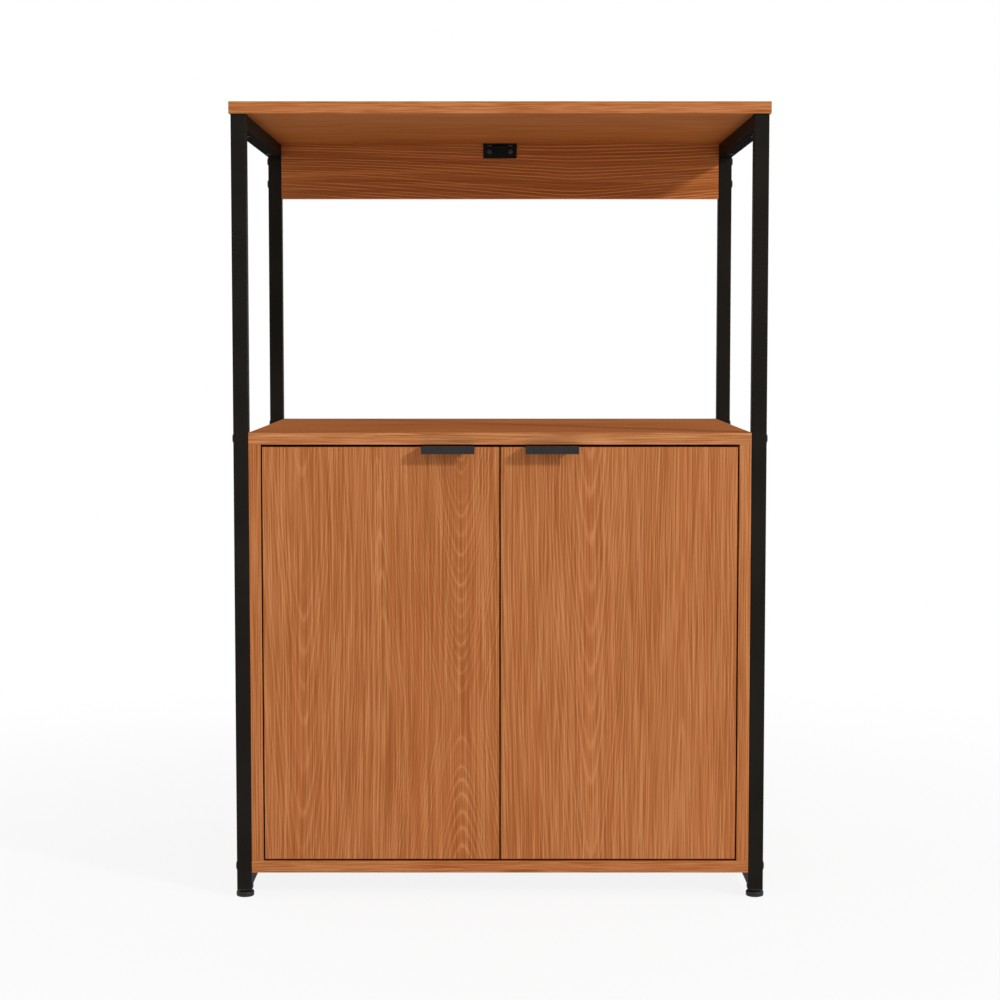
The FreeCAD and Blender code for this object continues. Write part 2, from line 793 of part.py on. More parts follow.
def build():
    os.makedirs("parts", exist_ok=True)
    corners = {"front_left": (-1, leg_centre_front), "front_right": (1, leg_centre_front),
               "rear_left": (-1, leg_centre_rear), "rear_right": (1, leg_centre_rear)}
    for name, (side, centre_y) in corners.items():
        save("leg_" + name, [leg(side, centre_y)])
        save("foot_" + name, [foot(side, centre_y)])
    save("leg_plugs", [leg_plug(side, centre_y) for side, centre_y in corners.values()])

    bottom_rail_z = leg_bottom + bottom_rail_lift + tube / 2
    for name, side in (("left", -1), ("right", 1)):
        top_rail = side_rail(side, top_under - tube / 2)
        save("top_rail_" + name, [cut_top_screws(top_rail)])
        save("bottom_rail_" + name, [side_rail(side, bottom_rail_z)])
        save("side_panel_" + name, [side_panel(side)])

    save("top_board", [top_board()])
    save("mid_board", [level_board(mid_board_under)])
    save("bottom_board", [level_board(bottom_board_under)])
    save("back_apron", [apron()])
    save("back_panel", [back_panel()])
    save("inner_shelf", [inner_shelf()])
    save("shelf_pins", [shelf_pin(side, y) for side in (-1, 1) for y in shelf_pin_rows()])
    save("apron_bracket", [bracket()])
    save("bracket_screws", screws_at(bracket_screw_places()))
    save("top_board_screws", screws_at([(seat, vec(0, 0, 1), tube + top_screw_bite) for seat in top_screw_seats()]))
    save("frame_screws", [frame_screw(seat, inward(side)) for side in (-1, 1) for seat in frame_screw_seats(side)])
    save("cam_locks", [cam_housing(*joint) for joint in cam_joints()])
    save("cam_bolts", [cam_bolt(*joint) for joint in cam_joints()])
    save("dowels", [dowel(*joint) for joint in cam_joints()])

    made_left = {
        "door": [door()], "pull": [pull()], "pull_screws": screws_at(pull_screws()),
        "hinge_cups": both_hinges(hinge_cup), "hinge_pins": both_hinges(hinge_pin),
        "hinge_cup_screws": hinge_screws(cup_screws), "hinge_arms": both_hinges(hinge_arm),
        "hinge_plates": both_hinges(hinge_plate), "hinge_arm_screws": hinge_screws(arm_screws),
        "hinge_plate_screws": hinge_screws(plate_screw_places)}
    for name, solids in made_left.items():
        save(name + "_left", solids)
        save(name + "_right", [mirrored(solid) for solid in solids])


build()
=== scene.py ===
import json
import math

import bpy
from mathutils import Matrix, Vector


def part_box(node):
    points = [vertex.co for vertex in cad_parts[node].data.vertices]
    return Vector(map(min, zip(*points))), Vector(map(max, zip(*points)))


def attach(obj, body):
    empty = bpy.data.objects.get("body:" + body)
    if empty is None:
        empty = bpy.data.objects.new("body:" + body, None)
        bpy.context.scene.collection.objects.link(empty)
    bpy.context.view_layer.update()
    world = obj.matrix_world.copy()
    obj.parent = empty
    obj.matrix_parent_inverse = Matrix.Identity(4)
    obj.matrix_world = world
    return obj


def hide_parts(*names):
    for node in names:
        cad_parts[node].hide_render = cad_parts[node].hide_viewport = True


# Looks of a kitchen cabinet with a black tube frame, an open bay and two inset doors. Lengths are in metres.
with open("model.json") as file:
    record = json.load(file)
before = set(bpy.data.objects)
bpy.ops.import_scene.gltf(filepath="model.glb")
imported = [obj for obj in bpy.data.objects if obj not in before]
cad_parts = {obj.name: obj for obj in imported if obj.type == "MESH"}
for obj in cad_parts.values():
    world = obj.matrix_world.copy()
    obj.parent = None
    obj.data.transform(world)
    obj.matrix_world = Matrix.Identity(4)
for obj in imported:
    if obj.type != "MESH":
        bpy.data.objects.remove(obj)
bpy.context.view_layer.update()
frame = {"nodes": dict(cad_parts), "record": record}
print("frame loaded:", len(frame["nodes"]), "nodes")

sides = ("left", "right")
corners = ("front_left", "front_right", "rear_left", "rear_right")
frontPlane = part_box("door_left")[0].y
down = Vector((0, 0, -1))

# Camera, in front of the doors and tipped down a little
camera = {"lens": 80.427, "sensor": 36.0, "pitch": 4.238, "distance": 2.7917, "height": 0.7125}
cameraData = bpy.data.cameras.new("camera")
cameraData.lens = camera["lens"]
cameraData.sensor_width = camera["sensor"]
cameraObject = bpy.data.objects.new("camera", cameraData)
cameraObject.location = (0, frontPlane - camera["distance"], camera["height"])
cameraObject.rotation_euler = (math.radians(90 - camera["pitch"]), 0, 0)
bpy.context.scene.collection.objects.link(cameraObject)
bpy.context.scene.camera = cameraObject
print("camera set")


# Materials. A Flow is one socket in a node tree, and arithmetic on it adds the Math nodes.
class Flow:
    def __init__(self, graph, socket):
        self.graph = graph
        self.socket = socket

    def __add__(self, other):
        return self.graph.maths("ADD", self, other)

    __radd__ = __add__

    def __sub__(self, other):
        return self.graph.maths("SUBTRACT", self, other)

    def __rsub__(self, other):
        return self.graph.maths("SUBTRACT", other, self)

    def __mul__(self, other):
        return self.graph.maths("MULTIPLY", self, other)

    __rmul__ = __mul__

    def __pow__(self, other):
        return self.graph.maths("POWER", self, other)

    def __rpow__(self, other):
        return self.graph.maths("POWER", other, self)

    def __gt__(self, other):
        return self.graph.maths("GREATER_THAN", self, other)

    def __lt__(self, other):
        return self.graph.maths("LESS_THAN", self, other)


class Graph:
    def __init__(self, tree):
        self.tree = tree

    def node(self, kind, settings=None, sockets=None, output=0):
        # Adds any node. Its settings are made first, and then its sockets are set or linked.
        made = self.tree.nodes.new(kind)
        for key, value in (settings or {}).items():
            if key == "stops":
                self.setStops(made.color_ramp, value)
            else:
                setattr(made, key, value)
        pairs = sockets.items() if isinstance(sockets, dict) else enumerate(sockets or ())
        for key, value in pairs:
            self.feed(made.inputs[key], value)
        return Flow(self, made.outputs[output])

    def setStops(self, ramp, stops):
        while len(ramp.elements) < len(stops):
            ramp.elements.new(0.5)
        for element, (place, colour) in zip(ramp.elements, stops):
            element.position = place
            element.color = colour

    def feed(self, socket, value):
        if isinstance(value, Flow):
            self.tree.links.new(value.socket, socket)
        else:
            socket.default_value = value

    def maths(self, operation, *values):
        return self.node("ShaderNodeMath", {"operation": operation}, values)


class Finish(Graph):
    # The node tree of a new material, with its shader.
    def __init__(self, name):
        self.material = bpy.data.materials.new(name)
        self.material.use_nodes = True
        super().__init__(self.material.node_tree)
        self.shader = self.tree.nodes["Principled BSDF"]

    def surface(self, **values):
        # Sets sockets of the shader, such as baseColor for Base Color.
        names = {"baseColor": "Base Color", "roughness": "Roughness", "metallic": "Metallic",
                 "normal": "Normal", "specular": "Specular IOR Level"}
        for key, value in values.items():
            self.feed(self.shader.inputs[names[key]], value)

    def axes(self, output):
        # Three numbers, one for each object axis.
        coordinates = self.node("ShaderNodeTexCoord", output=output)
        split = self.node("ShaderNodeSeparateXYZ", sockets=(coordinates,)).socket.node
        return [Flow(self, split.outputs[axis]) for axis in range(3)]

    def place(self):
        return self.axes("Object")

    def facing(self):
        # How far the surface faces along each axis.
        return self.axes("Normal")

    def vector(self, x, y, z):
        return self.node("ShaderNodeCombineXYZ", sockets=(x, y, z))

    def spot(self):
        return self.vector(*self.place())

    def noise(self, vector, scale=1.0, detail=2.0, roughness=0.5):
        return self.node("ShaderNodeTexNoise", {"noise_dimensions": "3D"},
                         {"Vector": vector, "Scale": scale, "Detail": detail, "Roughness": roughness})

    def span(self, value, low, high, start=0.0, end=1.0):
        # Maps low..high onto start..end with soft ends.
        return self.node("ShaderNodeMapRange", {"interpolation_type": "SMOOTHSTEP"},
                         (value, low, high, start, end))

    def blendColours(self, share, first, second, mode="MIX"):
        return self.node("ShaderNodeMix", {"data_type": "RGBA", "blend_type": mode},
                         {0: share, 6: first, 7: second}, output=2)

    def bump(self, height, strength, distance):
        return self.node("ShaderNodeBump",
                         sockets={"Strength": strength, "Distance": distance, "Height": height})


def linear(red, green, blue):
    # A colour given in the usual 0 to 255 turned into the light values that shaders use.
    def channel(value):
        value = value / 255
        return value / 12.92 if value <= 0.04045 else ((value + 0.055) / 1.055) ** 2.4

    return (channel(red), channel(green), channel(blue), 1.0)


def shaded(colour, share):
    # The colour made darker or lighter by a share.
    return tuple(part * share for part in colour[:3]) + (1.0,)


# Wood-grain laminate. These values hold for every board, and a board's own cut can set any of them anew.
# A name that ends in Scale holds what a noise's places are multiplied by, across the grain and along it.
wood = {
    # Colours of the print, their places on the ramp, and the value that plain wood has there
    "darkTone": linear(157, 88, 42), "middleTone": linear(180, 111, 63), "lightTone": linear(201, 133, 84),
    "toneStops": (0.05, 0.5, 0.95), "plain": 0.47,
    # Year rings: how many there are, how far they wander and ripple, and how unevenly they are spaced
    "ringsPerMetre": 235.0, "wander": 0.020, "wanderScale": (7.0, 1.6), "ripple": 0.0013,
    "rippleScale": (30.0, 12.0), "uneven": 5.5, "unevenScale": (24.0, 0.5),
    # Figures: the middle of the board along its grain, how round the shapes are across it and at their turn,
    # how fast they fade beside their centre, and how softly two of them meet
    "middle": 0.0, "figureRound": 0.016, "turnRound": 0.03, "figureReach": 62.0, "figureMeet": 0.03,
    # The pale and the dark line of a ring, from 0 to 1 through it, and the noise that lets lines come and go
    "lightLine": 0.44, "lightRise": (0.54, 0.74), "lightFall": (0.78, 0.97),
    "darkLine": 0.10, "darkRise": (0.0, 0.16), "darkFall": (0.2, 0.5),
    "forceSpan": (0.30, 0.66), "forceScale": (0.6, 3.0),
    # Broad clouds, fibres and fine threads
    "cloud": 0.6, "cloudScale": (11.0, 1.4), "fibre": 1.2, "fibreScale": (600.0, 5.0), "thread": 3.0,
    "threadScale": (1450.0, 10.0),
    # Reddish streaks and dark pores
    "emberTone": linear(184, 101, 55), "ember": 0.35, "emberSpan": (0.52, 0.72), "emberScale": (160.0, 1.5),
    "pore": 0.3, "poreFrom": 0.71, "poreScale": (1300.0, 55.0),
    # Ends and long edges: the facing from which a face counts as one. Then, for long edges, how much less the
    # rings wander, how much closer they lie, how much more they ripple, and how much shorter the fibres are
    "edgeFrom": 0.7, "edgeCalm": 0.7, "edgeCrowding": 0.4, "edgeRipple": 0.0, "edgeShort": 0.0,
    # The facing from which a face takes a tint, on the top board's underside a painted shade, and the surface
    # itself
    "tintFrom": 0.5, "relief": 0.5, "roughness": 0.46, "toneGloss": 0.06, "specular": 0.05, "bump": 0.10,
    "bumpDepth": 0.0002,
}

# Every board has its own cut: the axis its grain follows, the axis across the grain and the axis through the
# board, and a seed. A figure is a row of V or U shapes: its place across the grain, where along the grain the
# shapes turn over, and how fast they open. One colour can multiply the whole board: on the apron it is partly
# the board's own darker tone and partly painted shade for its place under the top board. A tint multiplies
# only the faces that look one way: an axis, and 1 or -1; on the top board's underside it is painted shade.
# The face is where the board starts on the axis through it, and comes from the frame.
lowerMiddle = 0.31  # height of the middle of the lower cabinet
wavyEdge = {"edgeCrowding": 1.0, "edgeRipple": 1.6, "edgeShort": 1.0}
boardCuts = {
    # The top board's underside takes a darker, browner tint: painted shade
    "top_board": {"grain": "xyz", "seed": 3.1, "figures": [(-0.05, -0.9, 0.03)], **wavyEdge,
                  "specular": 0.002, "tintsAndPaintedShade": [("z", -1, (0.91, 0.87, 0.66, 1.0))]},
    "mid_board": {"grain": "xyz", "seed": 8.7, "figures": [(0.04, 0.9, 0.03)], **wavyEdge,
                  "specular": 0.0, "thread": 2.5, "tintsAndPaintedShade": [("y", -1, (1.10, 1.22, 1.40, 1.0))]},
    "bottom_board": {"grain": "xyz", "seed": 14.2, "figures": [(0.0, 0.9, 0.03)], **wavyEdge},
    "inner_shelf": {"grain": "xyz", "seed": 21.9, "figures": [(0.1, 0.9, 0.03)]},
    # The apron's darker, browner colour: partly its own tone and partly painted shade under the top board
    "back_apron": {"grain": "xzy", "seed": 27.4, "figures": [(0.86, 0.1, 0.10)], "specular": 0.12,
                   "toneAndPaintedShade": (0.83, 0.715, 0.49, 1.0), "lightTone": linear(226, 150, 98),
                   "ringsPerMetre": 230.0, "uneven": 2.4, "wander": 0.026, "lightLine": 1.0, "fibre": 0.9,
                   "fibreScale": (420.0, 3.0), "thread": 1.0, "threadScale": (760.0, 5.0), "cloud": 0.4},
    "door_left": {"grain": "zxy", "seed": 33.6, "middle": lowerMiddle,
                  "figures": [(-0.247, -0.6, 0.085), (-0.049, 0.235, 0.22)]},
    "door_right": {"grain": "zxy", "seed": 41.3, "middle": lowerMiddle,
                   "figures": [(0.112, -0.6, 0.085), (0.345, -0.4, 0.07)]},
    "side_panel_left": {"grain": "zyx", "seed": 52.8, "middle": lowerMiddle,
                        "figures": [(0.06, -0.5, 0.05)]},
    "side_panel_right": {"grain": "zyx", "seed": 60.5, "middle": lowerMiddle,
                         "figures": [(-0.04, -0.5, 0.05)]},
}


def woodFlow(finish, cut):
    # Gives the print's tone, its colour with any painted shade, the height of its grain and the way the
    # surface faces.
    look = {**wood, **cut}

    def streaks(part, across, along, draw, detail=2.0):
        # Noise drawn out along the grain, on the part's own scales. Every draw is another pattern.
        acrossScale, alongScale = look[part + "Scale"]
        spot = finish.vector(across * acrossScale, along * alongScale, look["seed"] + draw)
        return finish.noise(spot, detail=detail)

    # Places across and along the grain, which runs on over the board's edges and ends
    place = dict(zip("xyz", finish.place()))
    facing = dict(zip("xyz", finish.facing()))
    alongName, acrossName, throughName = look["grain"]
    atEnd = finish.maths("ABSOLUTE", facing[alongName]) > look["edgeFrom"]
    onEdge = finish.maths("ABSOLUTE", facing[acrossName]) > look["edgeFrom"]
    along = place[alongName] + (place[acrossName] - place[alongName]) * atEnd
    across = place[throughName] - look["face"] + place[acrossName] * (1 - atEnd)
    drift = (streaks("wander", across, along, 0) - 0.5) * (1 - onEdge * look["edgeCalm"])
    ripple = (streaks("ripple", across, along, 1) - 0.5) * (1 + onEdge * look["edgeRipple"])
    bent = across + drift * look["wander"] + ripple * look["ripple"]
    streak = along * (1 + onEdge * look["edgeShort"])

    # Year rings, bent round the figures
    ring = None
    for centre, turn, slope in look["figures"]:
        gap = bent - centre
        reach = (gap * gap + look["figureRound"] ** 2) ** 0.5
        rise = ((along - turn) ** 2.0 + look["turnRound"] ** 2) ** 0.5 - abs(look["middle"] - turn)
        pull = finish.maths("EXPONENT", gap * gap * -look["figureReach"])
        flame = reach - pull * rise * slope
        ring = flame if ring is None else finish.maths("SMOOTH_MIN", ring, flame, look["figureMeet"])
    uneven = streaks("uneven", ring, along, 2) - 0.5
    rings = ring * look["ringsPerMetre"] * (1 + onEdge * look["edgeCrowding"]) + uneven * look["uneven"]
    year = finish.maths("FRACT", rings)
    pale = finish.span(year, *look["lightRise"]) * (1 - finish.span(year, *look["lightFall"]))
    deep = finish.span(year, *look["darkRise"]) * (1 - finish.span(year, *look["darkFall"]))
    force = finish.span(streaks("force", rings, along, 3), *look["forceSpan"])
    lines = (pale * look["lightLine"] - deep * look["darkLine"]) * force

    # Clouds, fibres and threads, and then the colours
    clouds = streaks("cloud", across, along, 4) - 0.5
    fibres = streaks("fibre", bent, streak, 5, detail=1.0) - 0.5
    threads = streaks("thread", bent, streak, 6) - 0.5
    tone = (look["plain"] + lines + clouds * look["cloud"]
            + fibres * look["fibre"] + threads * look["thread"])
    stops = list(zip(look["toneStops"], (look["darkTone"], look["middleTone"], look["lightTone"])))
    colour = finish.node("ShaderNodeValToRGB", {"stops": stops}, (tone,))
    embers = finish.span(streaks("ember", bent, along, 7), *look["emberSpan"])
    colour = finish.blendColours(embers * look["ember"], colour, look["emberTone"])
    pores = streaks("pore", bent, along, 8, detail=1.0) > look["poreFrom"]
    colour = finish.blendColours(pores * look["pore"], colour, look["darkTone"])
    # On the apron this colour is partly the board's own darker tone and partly painted shade
    if "toneAndPaintedShade" in look:
        colour = finish.blendColours(1.0, colour, look["toneAndPaintedShade"], "MULTIPLY")
    # Tints on faces that look one way; on the top board's underside this is painted shade
    for axis, way, tint in look.get("tintsAndPaintedShade", ()):
        colour = finish.blendColours(facing[axis] * way > look["tintFrom"], colour, tint, "MULTIPLY")
    height = (tone + fibres - pores) * look["relief"]
    return {"tone": tone, "colour": colour, "height": height, "facing": facing}


def woodFinish(node, cut):
    look = {**wood, **cut}
    finish = Finish(node + "_laminate")
    printed = woodFlow(finish, cut)
    finish.surface(baseColor=printed["colour"], specular=look["specular"],
                   roughness=look["roughness"] - printed["tone"] * look["toneGloss"],
                   normal=finish.bump(printed["height"], look["bump"], look["bumpDepth"]))
    return finish.material


def dress(node, material):
    slots = frame["nodes"][node].data.materials
    if len(slots) == 0:
        slots.append(material)
    for index in range(len(slots)):
        slots[index] = material


for node, cut in boardCuts.items():
    cut["face"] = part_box(node)[0]["xyz".index(cut["grain"][2])]
    dress(node, woodFinish(node, cut))
print("boards finished")

# Thin back panel: the same print on its inner face and plain brown hardboard behind
backPanel = {
    "cut": {"grain": "zxy", "seed": 71.7, "middle": lowerMiddle, "figures": [(-0.12, -0.5, 0.05)]},
    "behindFrom": 0.5, "raw": linear(158, 116, 76), "speck": linear(122, 86, 55), "speckSpan": (0.32, 0.64),
    "mottleScale": 900.0, "mottleRoughness": 0.7, "cloudScale": 30.0, "cloudShare": 0.15, "roughness": 0.5,
    "rawRoughness": 0.25, "bump": 0.15, "bumpDepth": 0.0002,
}


def hardboardFinish():
    look = backPanel
    finish = Finish("back_panel_hardboard")
    printed = woodFlow(finish, {**look["cut"], "face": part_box("back_panel")[0].y})
    behind = printed["facing"]["y"] > look["behindFrom"]
    spot = finish.spot()
    mottle = finish.noise(spot, scale=look["mottleScale"], detail=3.0, roughness=look["mottleRoughness"])
    clouds = finish.noise(spot, scale=look["cloudScale"])
    specks = finish.span(mottle * (1 - look["cloudShare"]) + clouds * look["cloudShare"], *look["speckSpan"])
    raw = finish.blendColours(specks, look["speck"], look["raw"])
    height = mottle * behind + printed["height"] * (1 - behind)
    finish.surface(baseColor=finish.blendColours(behind, printed["colour"], raw),
                   roughness=look["roughness"] + behind * look["rawRoughness"],
                   normal=finish.bump(height, look["bump"], look["bumpDepth"]))
    return finish.material


dress("back_panel", hardboardFinish())

# Powder-coated steel of the frame, and the darker coats of the small parts. The frame's faces that look down
# are darker, a painted shade, and duller.
paints = {
    "frame_paint": {"colour": linear(29, 26, 22), "roughness": 0.58, "specular": 0.05, "peel": 1400.0,
                    "depth": 0.00004, "paintedUnderShade": 0.35, "underDull": 0.4},
    "pull_paint": {"colour": linear(40, 41, 42), "roughness": 0.5, "specular": 0.16, "peel": 2200.0,
                   "depth": 0.00002},
    "bracket_paint": {"colour": linear(12, 10, 8), "roughness": 0.55, "specular": 0.14, "peel": 1800.0,
                      "depth": 0.00003},
    "screw_black": {"colour": linear(22, 21, 20), "roughness": 0.42, "specular": 0.22, "peel": 3000.0,
                    "depth": 0.00001},
    "screw_grey": {"colour": linear(58, 52, 46), "roughness": 0.4, "specular": 0.3, "peel": 3000.0,
                   "depth": 0.00001},
}
paintLook = {"darker": 0.85, "lighter": 1.15, "cloudScale": 12.0, "cloudSpan": (0.3, 0.7), "peelDull": 0.12,
             "bump": 0.25, "underFrom": 0.5}


def paintFinish(name, paint):
    look = {**paintLook, **paint}
    finish = Finish(name)
    spot = finish.spot()
    peel = finish.noise(spot, scale=look["peel"])
    clouds = finish.noise(spot, scale=look["cloudScale"], detail=3.0)
    colour = finish.blendColours(finish.span(clouds, *look["cloudSpan"]),
                                 shaded(look["colour"], look["darker"]),
                                 shaded(look["colour"], look["lighter"]))
    roughness = look["roughness"] + (peel - 0.5) * look["peelDull"]
    # Painted shade: faces that look down take a darker colour, and they are also made duller
    if "paintedUnderShade" in look:
        below = finish.facing()[2] < -look["underFrom"]
        colour = finish.blendColours(below, colour, shaded(look["colour"], look["paintedUnderShade"]))
        roughness = roughness + below * look["underDull"]
    finish.surface(baseColor=colour, roughness=roughness, specular=look["specular"],
                   normal=finish.bump(peel, look["bump"], look["depth"]))
    return finish.material


coats = {name: paintFinish(name, paint) for name, paint in paints.items()}
for corner in corners:
    dress("leg_" + corner, coats["frame_paint"])
for side in sides:
    dress("top_rail_" + side, coats["frame_paint"])
    dress("bottom_rail_" + side, coats["frame_paint"])
    dress("pull_" + side, coats["pull_paint"])
dress("apron_bracket", coats["bracket_paint"])
dress("frame_screws", coats["screw_black"])
dress("bracket_screws", coats["screw_grey"])

# Moulded plastic of the feet and plugs
plastics = {"foot_plastic": linear(20, 20, 20), "plug_plastic": linear(24, 24, 24)}
plasticLook = {"grainScale": 2600.0, "grainDetail": 1.5, "darker": 0.8, "roughness": 0.5, "grainDull": 0.1,
               "specular": 0.35, "bump": 0.2, "depth": 0.00003}


def plasticFinish(name, colour):
    look = plasticLook
    finish = Finish(name)
    grain = finish.noise(finish.spot(), scale=look["grainScale"], detail=look["grainDetail"])
    finish.surface(baseColor=finish.blendColours(grain, shaded(colour, look["darker"]), colour),
                   roughness=look["roughness"] + grain * look["grainDull"], specular=look["specular"],
                   normal=finish.bump(grain, look["bump"], look["depth"]))
    return finish.material


mouldings = {name: plasticFinish(name, colour) for name, colour in plastics.items()}
for corner in corners:
    dress("foot_" + corner, mouldings["foot_plastic"])
dress("leg_plugs", mouldings["plug_plastic"])

# Bare metals of the fittings, brushed along Z
metals = {
    "nickel": {"colour": linear(196, 194, 190), "roughness": 0.24, "streak": 900.0},
    "zinc_screw": {"colour": linear(188, 190, 194), "roughness": 0.32, "streak": 1600.0},
    "zinc_casting": {"colour": linear(150, 150, 152), "roughness": 0.45, "streak": 500.0},
    "steel_pin": {"colour": linear(200, 200, 202), "roughness": 0.2, "streak": 1200.0},
}
metalLook = {"alongStreak": 60.0, "streakDull": 0.12, "stainScale": 120.0, "stainSpan": (0.35, 0.65),
             "darker": 0.8, "bump": 0.08, "depth": 0.00002}


def metalFinish(name, metal):
    look = {**metalLook, **metal}
    finish = Finish(name)
    x, y, z = finish.place()
    brushed = finish.noise(finish.vector(x * look["streak"], y * look["streak"], z * look["alongStreak"]))
    stains = finish.noise(finish.vector(x, y, z), scale=look["stainScale"], detail=3.0)
    stained = shaded(look["colour"], look["darker"])
    colour = finish.blendColours(finish.span(stains, *look["stainSpan"]), stained, look["colour"])
    finish.surface(baseColor=colour, metallic=1.0,
                   roughness=look["roughness"] + (brushed - 0.5) * look["streakDull"],
                   normal=finish.bump(brushed, look["bump"], look["depth"]))
    return finish.material


bareMetals = {name: metalFinish(name, metal) for name, metal in metals.items()}
screwGroups = ("pull_screws_", "hinge_cup_screws_", "hinge_arm_screws_", "hinge_plate_screws_")
for side in sides:
    for node in ("hinge_cups_", "hinge_arms_", "hinge_plates_"):
        dress(node + side, bareMetals["nickel"])
    for node in screwGroups:
        dress(node + side, bareMetals["zinc_screw"])
    dress("hinge_pins_" + side, bareMetals["steel_pin"])
dress("shelf_pins", bareMetals["steel_pin"])
dress("top_board_screws", coats["screw_black"])
dress("cam_locks", bareMetals["zinc_casting"])
dress("cam_bolts", bareMetals["zinc_casting"])

# Beech of the dowels
beechLook = {"dark": linear(196, 152, 106), "light": linear(222, 186, 140), "roughness": 0.7,
             "grainScale": (900.0, 900.0, 40.0), "bump": 0.2, "depth": 0.0001}


def beechFinish():
    look = beechLook
    finish = Finish("dowel_beech")
    stretched = [place * scale for place, scale in zip(finish.place(), look["grainScale"])]
    grain = finish.noise(finish.vector(*stretched))
    finish.surface(baseColor=finish.blendColours(grain, look["dark"], look["light"]),
                   roughness=look["roughness"], normal=finish.bump(grain, look["bump"], look["depth"]))
    return finish.material


beech = beechFinish()
dress("dowels", beech)
print("fittings finished")

# Pieces modelled here. Each stands in for a plain solid of the frame, and that solid says where it goes.
bodyOf = {node: body for body, nodes in frame["record"]["behaviour"]["bodies"].items() for node in nodes}
modelling = {"smoothAngle": 35, "weldDistance": 0.000001, "endShare": 0.02, "underFacing": -0.9,
             "crossFloorShare": 0.5, "hexSides": 6, "ridgeSides": 3}


def pick(piece):
    bpy.ops.object.select_all(action="DESELECT")
    piece.select_set(True)
    bpy.context.view_layer.objects.active = piece


def added(primitive, **settings):
    # Adds a primitive and writes its place, turn and size into its mesh.
    bpy.ops.object.select_all(action="DESELECT")
    primitive(**settings)
    bpy.ops.object.transform_apply(location=True, rotation=True, scale=True)
    return bpy.context.object


def faceOutward():
    # Turns all faces of the mesh being edited outward, and ends the editing.
    bpy.ops.mesh.select_all(action="SELECT")
    bpy.ops.mesh.normals_make_consistent(inside=False)
    bpy.ops.object.mode_set(mode="OBJECT")


def selectNothing():
    # Leaves nothing selected in the mesh of the active object.
    bpy.ops.object.mode_set(mode="EDIT")
    bpy.ops.mesh.select_all(action="DESELECT")
    bpy.ops.object.mode_set(mode="OBJECT")


def shares(pairs, radius, height, start=0.0):
    # Rings given as shares of a radius and of a height, above a start height.
    return [(radius * across, start + height * up) for across, up in pairs]


def arc(radius, height, wide, high, angles):
    # Rings on an ellipse about a ring (radius, height). The angles are degrees up from level.
    turns = [math.radians(angle) for angle in angles]
    return [(radius + wide * math.cos(turn), height + high * math.sin(turn)) for turn in turns]


def turned(name, count, rings):
    # A piece turned about the Z axis with count sides, from its rings (radius, height) in order.
    radius, height = rings[0]
    piece = added(bpy.ops.mesh.primitive_circle_add, vertices=count, radius=radius, fill_type="NGON",
                  location=(0, 0, height))
    piece.name = name
    bpy.ops.object.mode_set(mode="EDIT")
    bpy.ops.mesh.select_all(action="SELECT")
    for nextRadius, nextHeight in rings[1:]:
        bpy.ops.mesh.extrude_region_move(TRANSFORM_OT_translate={"value": (0, 0, nextHeight - height)})
        share = nextRadius / radius
        bpy.ops.transform.resize(value=(share, share, 1.0), center_override=(0, 0, 0))
        radius, height = nextRadius, nextHeight
    faceOutward()
    return piece


def addThread(piece, made, crest, low, high):
    # Winds a ridge round the piece between two heights. crest is its outer radius.
    ridge, pitch, count = made["ridge"], made["pitch"], modelling["ridgeSides"]
    wind = added(bpy.ops.mesh.primitive_circle_add, vertices=count, radius=ridge, fill_type="NOTHING",
                 location=(crest - ridge, 0, low + ridge), rotation=(math.radians(90), math.radians(90), 0))
    screw = wind.modifiers.new("wind", "SCREW")
    screw.steps = made["threadSteps"]
    screw.render_steps = made["threadSteps"]
    screw.screw_offset = pitch
    screw.iterations = int((high - low - 2 * ridge) / pitch)
    bpy.ops.object.modifier_apply(modifier="wind")
    bpy.ops.object.mode_set(mode="EDIT")
    bpy.ops.mesh.select_all(action="SELECT")
    bpy.ops.mesh.fill_holes(sides=count)
    faceOutward()
    piece.select_set(True)
    bpy.context.view_layer.objects.active = piece
    bpy.ops.object.join()


def carve(piece, cutter):
    cut = piece.modifiers.new("carve", "BOOLEAN")
    cut.solver = "EXACT"
    cut.object = cutter
    pick(piece)
    bpy.ops.object.modifier_apply(modifier="carve")
    bpy.data.objects.remove(cutter)


def editUnderside(cutter):
    # Starts editing the cutter with only its lowest face selected.
    selectNothing()
    for face in cutter.data.polygons:
        face.select = face.normal.z < modelling["underFacing"]
    bpy.ops.object.mode_set(mode="EDIT")


def carveCross(piece, made, top):
    # A cross recess sunk from height top, narrower at its floor.
    depth, share = made["crossDepth"], modelling["crossFloorShare"]
    for turn in (0, 90):
        bar = added(bpy.ops.mesh.primitive_cube_add, size=1.0, location=(0, 0, top),
                    rotation=(0, 0, math.radians(turn)),
                    scale=(made["crossLength"], made["crossWidth"], 2 * depth))
        editUnderside(bar)
        bpy.ops.transform.resize(value=(share, share, 1.0), center_override=(0, 0, top - depth))
        bpy.ops.object.mode_set(mode="OBJECT")
        carve(piece, bar)


def carveHex(piece, made, top):
    # A hex socket sunk from height top, with a drilled cone at its floor.
    across, tip, count = made["hexAcross"], made["hexTipShare"], modelling["hexSides"]
    socket = added(bpy.ops.mesh.primitive_cylinder_add, vertices=count,
                   radius=across / 2 / math.cos(math.pi / count), depth=2 * made["hexDepth"],
                   location=(0, 0, top))
    editUnderside(socket)
    bpy.ops.mesh.extrude_region_move(TRANSFORM_OT_translate={"value": (0, 0, -across * tip)})
    bpy.ops.transform.resize(value=(tip, tip, 1.0), center_override=(0, 0, top))
    bpy.ops.object.mode_set(mode="OBJECT")
    carve(piece, socket)


